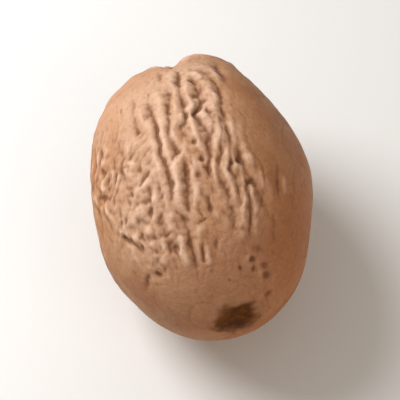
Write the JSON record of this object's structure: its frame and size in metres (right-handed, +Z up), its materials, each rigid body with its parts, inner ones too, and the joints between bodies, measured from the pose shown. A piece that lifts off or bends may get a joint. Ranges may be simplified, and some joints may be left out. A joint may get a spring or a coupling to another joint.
{
  "type": "whole nutmeg",
  "caption": "Whole dried nutmeg, a spice grated for cooking: a wrinkled tan ovoid seed lying on its side, with a pale root scar at one end and a dark hollow at the other.",
  "frame": {"origin": "middle of the underside, in the middle of the small flat spot that the nutmeg rests on", "axes": "+Y from the dark hollow (chalaza) end to the pale root scar end, +Z up out of the furrowed side, +X to the right seen from above with the root scar end away from the viewer"},
  "size_m": [0.0202, 0.0276, 0.0196],
  "materials": {
    "seed_coat": "dull dried seed coat with a faint waxy sheen"
  },
  "bodies": {
    "root": {"nutmeg": "seed_coat"}
  },
  "joints": []
}
